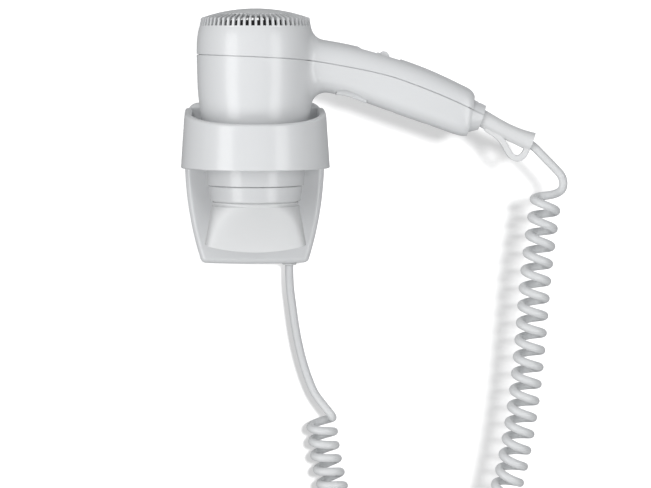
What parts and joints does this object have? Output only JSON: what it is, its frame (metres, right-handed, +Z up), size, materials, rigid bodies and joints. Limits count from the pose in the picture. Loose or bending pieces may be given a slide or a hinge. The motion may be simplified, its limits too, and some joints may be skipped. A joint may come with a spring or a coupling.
{
  "type": "hair dryer",
  "caption": "white wall-mounted hair dryer hanging nozzle-down in a tapered holder with a holding ring, joined to it by a curled cord",
  "frame": {"origin": "centre of the wall plate's back face, on the wall", "axes": "+Z up, +X to the right as seen from the room, +Y into the wall"},
  "size_m": [0.2882, 0.1276, 0.4461],
  "materials": {
    "shell_white": "glossy moulded white ABS",
    "nozzle_white": "satin moulded white heat-proof plastic",
    "holder_white": "glossy moulded white ABS",
    "plate_grey": "plain moulded light grey plastic",
    "cord_white": "satin white PVC",
    "guard_white": "satin white soft PVC",
    "screw_steel": "zinc-plated steel",
    "motor_steel": "plated steel can",
    "contact_brass": "brass contacts",
    "heater_wire": "wound resistance wire",
    "mica_board": "pressed mica sheet",
    "fan_dark": "dark moulded nylon",
    "filter_dark": "dark grey screen",
    "switch_black": "black switch housing",
    "board_green": "green circuit board with diodes"
  },
  "bodies": {
    "holder": {"wall_plate": "plate_grey", "holder_cover": "holder_white", "holder_ring": "holder_white", "ring_screws": "screw_steel", "cover_screws": "screw_steel", "terminal_block": "plate_grey", "terminal_screws": "contact_brass", "holder_cord_clamp": "plate_grey", "holder_clamp_screws": "screw_steel", "cord_grommet": "guard_white", "holder_cord_tail": "cord_white", "cord_lead_holder": "cord_white", "curly_cord": "cord_white"},
    "handset": {"rear_housing": "shell_white", "front_housing": "shell_white", "intake_grille": "shell_white", "intake_filter": "filter_dark", "fan_duct": "fan_dark", "motor": "motor_steel", "motor_end_cap": "switch_black", "motor_terminals": "contact_brass", "heater_frame": "mica_board", "heater_coils": "heater_wire", "heater_sleeve": "mica_board", "outlet_grille": "fan_dark", "thermostat": "contact_brass", "thermal_fuse": "contact_brass", "switch_block": "switch_black", "micro_switch": "switch_black", "diode_board": "board_green", "handle_screws": "screw_steel", "cord_guard": "guard_white", "handle_cord_tail": "cord_white", "handle_cord_clamp": "plate_grey", "handle_clamp_screws": "screw_steel", "cord_lead_handset": "cord_white"},
    "fan": {"impeller": "fan_dark", "motor_shaft": "screw_steel"},
    "slider": {"switch_slider": "shell_white"},
    "button": {"run_button": "shell_white"},
    "swivel": {"nozzle_ring": "shell_white"},
    "concentrator": {"nozzle": "nozzle_white"}
  },
  "joints": [
    {"name": "handset_lift", "type": "slide", "parent": "holder", "child": "handset", "axis": [0, 0, 1], "range_m": [0, 0.13], "deforming": ["curly_cord"]},
    {"name": "nozzle_turn", "type": "hinge", "parent": "handset", "child": "swivel", "pos_m": [0, -0.072, 0], "axis": [0, 0, 1], "continuous": true},
    {"name": "nozzle_pull", "type": "slide", "parent": "swivel", "child": "concentrator", "axis": [0, 0, -1], "range_m": [0, 0.02]},
    {"name": "fan_spin", "type": "hinge", "parent": "handset", "child": "fan", "pos_m": [0, -0.072, 0.1], "axis": [0, 0, 1], "continuous": true},
    {"name": "switch_slide", "type": "slide", "parent": "handset", "child": "slider", "axis": [-0.9668, 0, 0.2555], "range_m": [0, 0.01]},
    {"name": "button_press", "type": "slide", "parent": "handset", "child": "button", "axis": [0.2399, 0, 0.9708], "range_m": [0, 0.0025], "stiffness_N_per_m": 600}
  ]
}
